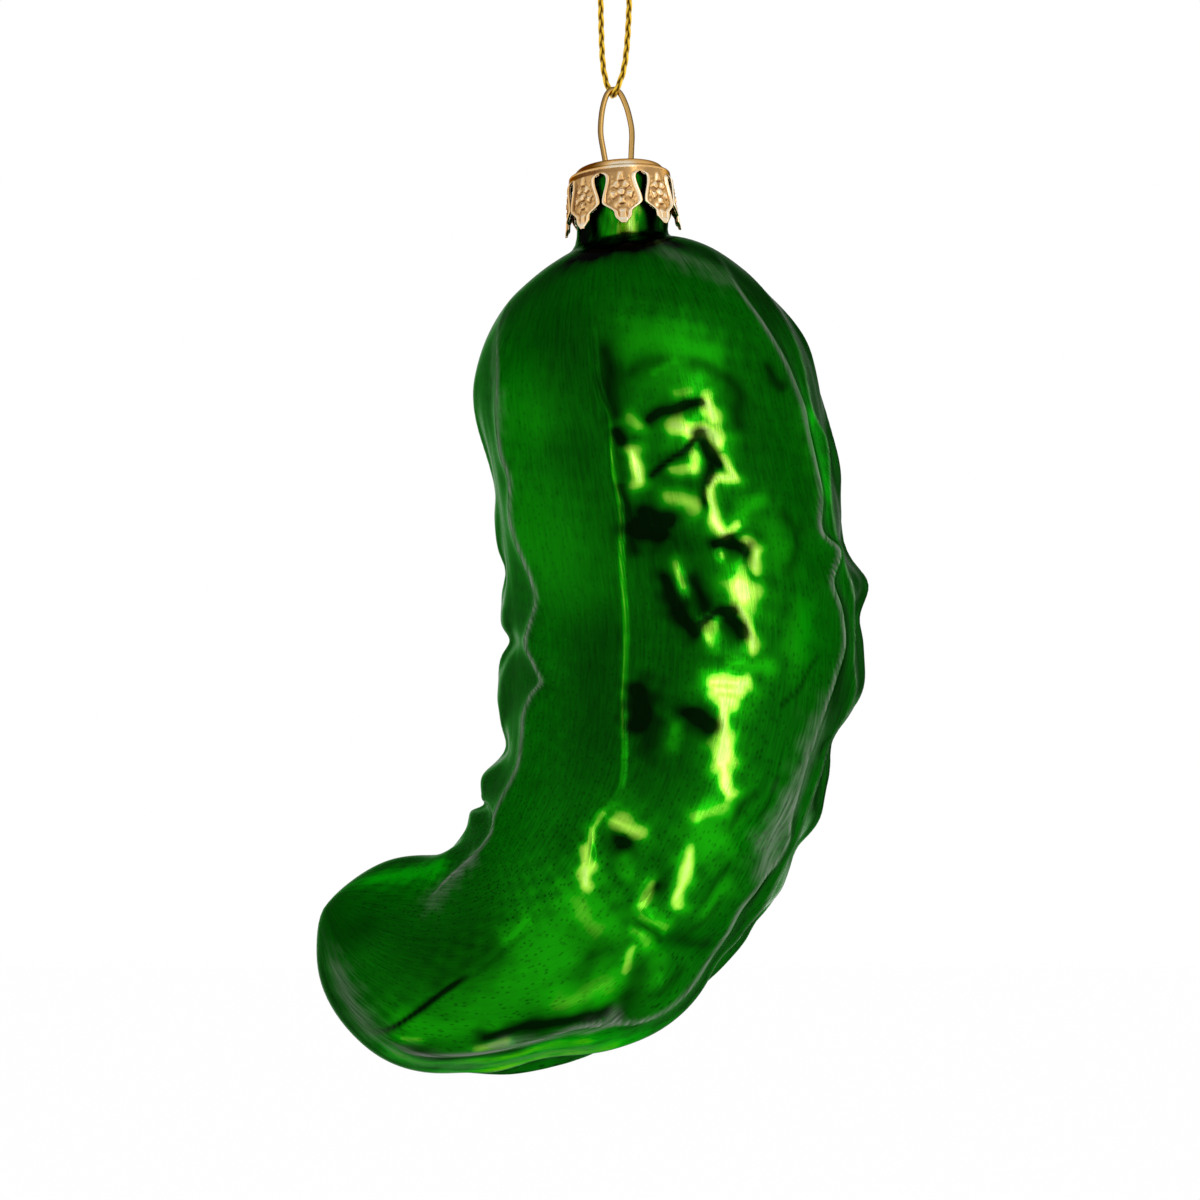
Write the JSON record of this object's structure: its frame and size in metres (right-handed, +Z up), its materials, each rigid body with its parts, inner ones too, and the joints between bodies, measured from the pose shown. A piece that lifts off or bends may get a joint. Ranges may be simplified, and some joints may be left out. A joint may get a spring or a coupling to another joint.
{
  "type": "pickle ornament",
  "caption": "Bent, ridged green glass gherkin bauble with a petalled crown cap, spring-wire hanger and gold cord loop, for hanging on a tree.",
  "frame": {"origin": "top of the space inside the cord loop, just under its knot, where a hook or branch carries it", "axes": "+Z up along the hanging cord, +X towards the outside of the gherkin's bend, -Y to the front"},
  "size_m": [0.0663, 0.041, 0.1488],
  "materials": {
    "green_glass": "glossy green metallic lacquer on blown glass",
    "gold_cap": "bright rosy gold stamped sheet",
    "gold_wire": "brownish gold spring wire",
    "gold_cord": "metallic gold braided cord"
  },
  "bodies": {
    "cord_loop": {"hang_cord": "gold_cord", "cord_knot": "gold_cord"},
    "hanger": {"wire_hanger": "gold_wire", "crown_cap": "gold_cap"},
    "bauble": {"glass_pickle": "green_glass"}
  },
  "joints": [
    {"name": "swing", "type": "hinge", "parent": "cord_loop", "child": "hanger", "pos_m": [0, 0, -0.0247], "axis": [0, 1, 0], "range_deg": [-35, 35]},
    {"name": "pull_off", "type": "slide", "parent": "hanger", "child": "bauble", "axis": [0.0698, 0, -0.9976], "range_m": [0, 0.02]}
  ]
}
